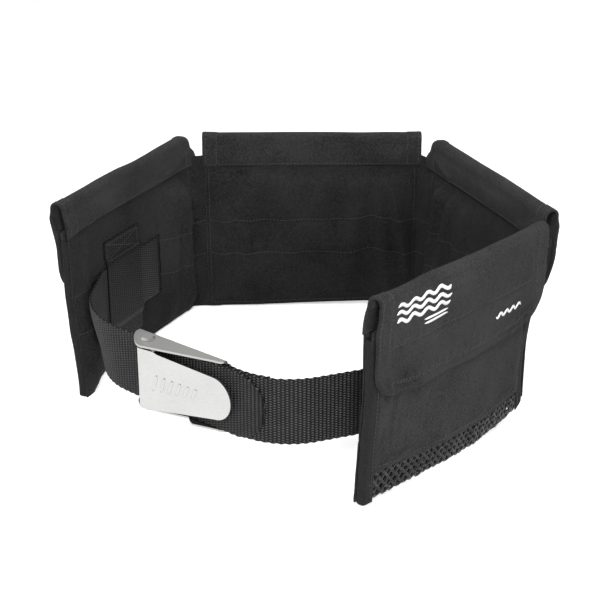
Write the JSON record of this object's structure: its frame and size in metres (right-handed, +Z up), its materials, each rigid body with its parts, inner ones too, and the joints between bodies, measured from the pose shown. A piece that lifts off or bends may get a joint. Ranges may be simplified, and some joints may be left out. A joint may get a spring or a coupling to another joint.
{
  "type": "dive weight belt",
  "caption": "Pocketed dive weight belt of black pack cloth, buckled into a ring by a webbing strap and a steel cam-lever buckle.",
  "frame": {"origin": "centre of the belt ring at floor level, where the lower edges of the pockets rest", "axes": "+Z up, +Y towards the rear pocket (the wearer's back), +X along the rear pocket to the wearer's right"},
  "size_m": [0.3802, 0.3554, 0.16],
  "materials": {
    "pack_cloth": "woven nylon",
    "binding_tape": "woven tape",
    "net": "knotted net",
    "hook_and_loop": "hook and loop pile",
    "webbing": "coarse nylon webbing",
    "satin_steel": "satin stainless steel",
    "polished_steel": "polished stainless steel"
  },
  "bodies": {
    "rear_pocket": {"rear_inner_panel": "pack_cloth", "rear_outer_panel": "pack_cloth", "rear_drain_mesh": "net", "rear_side_bindings": "binding_tape", "rear_flap_root": "pack_cloth", "rear_loop_tape": "hook_and_loop", "rear_core_webbing": "webbing", "seam_left_rear": "pack_cloth", "seam_rear_right": "pack_cloth"},
    "left_pocket": {"left_inner_panel": "pack_cloth", "left_outer_panel": "pack_cloth", "left_drain_mesh": "net", "left_side_bindings": "binding_tape", "left_flap_root": "pack_cloth", "left_loop_tape": "hook_and_loop", "left_keeper": "webbing", "strap_left_root": "webbing"},
    "right_pocket": {"right_inner_panel": "pack_cloth", "right_outer_panel": "pack_cloth", "right_drain_mesh": "net", "right_side_bindings": "binding_tape", "right_flap_root": "pack_cloth", "right_loop_tape": "hook_and_loop", "right_core_webbing": "webbing", "seam_right_front": "pack_cloth"},
    "front_pocket": {"front_inner_panel": "pack_cloth", "front_outer_panel": "pack_cloth", "front_drain_mesh": "net", "front_side_bindings": "binding_tape", "front_flap_root": "pack_cloth", "front_loop_tape": "hook_and_loop", "front_keeper": "webbing", "strap_front_root": "webbing"},
    "rear_lid": {"rear_flap": "pack_cloth", "rear_hook_tape": "hook_and_loop"},
    "left_lid": {"left_flap": "pack_cloth", "left_hook_tape": "hook_and_loop"},
    "right_lid": {"right_flap": "pack_cloth", "right_hook_tape": "hook_and_loop"},
    "front_lid": {"front_flap": "pack_cloth", "front_hook_tape": "hook_and_loop"},
    "free_end": {"strap_tail": "webbing"},
    "buckle_end": {"strap_run": "webbing", "buckle_frame": "satin_steel", "buckle_pin": "satin_steel"},
    "lever": {"buckle_lever": "polished_steel"}
  },
  "joints": [
    {"name": "belt_flex", "type": "hinge", "parent": "rear_pocket", "child": "right_pocket", "pos_m": [0.10816, 0.16071, 0.065], "axis": [0, 0, 1], "range_deg": [-15, 15]},
    {"name": "left_seam", "type": "hinge", "parent": "rear_pocket", "child": "left_pocket", "pos_m": [-0.08883, 0.1672, 0.065], "axis": [0, 0, 1], "range_deg": [-11.9, 11.9]},
    {"name": "front_seam", "type": "hinge", "parent": "right_pocket", "child": "front_pocket", "pos_m": [0.17607, -0.02913, 0.065], "axis": [0, 0, 1], "range_deg": [-13.9, 13.9]},
    {"name": "strap_turn", "type": "hinge", "parent": "left_pocket", "child": "free_end", "pos_m": [-0.15603, -0.03277, 0.063], "axis": [0, 0, 1], "range_deg": [-4.9, 4.9]},
    {"name": "run_turn", "type": "hinge", "parent": "front_pocket", "child": "buckle_end", "pos_m": [0.09628, -0.11085, 0.063], "axis": [0, 0, 1], "range_deg": [-5.8, 5.8]},
    {"name": "rear_flap_lift", "type": "hinge", "parent": "rear_pocket", "child": "rear_lid", "pos_m": [0.0107, 0.1714, 0.155], "axis": [1, 0, 0], "range_deg": [0, 150]},
    {"name": "left_flap_lift", "type": "hinge", "parent": "left_pocket", "child": "left_lid", "pos_m": [-0.14158, 0.08591, 0.155], "axis": [0.4617, 0.887, 0], "range_deg": [0, 150]},
    {"name": "right_flap_lift", "type": "hinge", "parent": "right_pocket", "child": "right_lid", "pos_m": [0.15014, 0.06856, 0.155], "axis": [0.3665, -0.9304, 0], "range_deg": [0, 150]},
    {"name": "front_flap_lift", "type": "hinge", "parent": "front_pocket", "child": "front_lid", "pos_m": [0.10832, -0.10741, 0.155], "axis": [-0.7059, -0.7083, 0], "range_deg": [0, 150]},
    {"name": "lever_lift", "type": "hinge", "parent": "buckle_end", "child": "lever", "pos_m": [-0.11185, -0.0873, 0.063], "axis": [0, 0, -1], "range_deg": [0, 90]}
  ],
  "couplings": [
    {"joint": "left_seam", "follows": "belt_flex", "ratio": 0.782},
    {"joint": "front_seam", "follows": "belt_flex", "ratio": -0.914},
    {"joint": "strap_turn", "follows": "belt_flex", "ratio": -0.318},
    {"joint": "run_turn", "follows": "belt_flex", "ratio": 0.378}
  ]
}
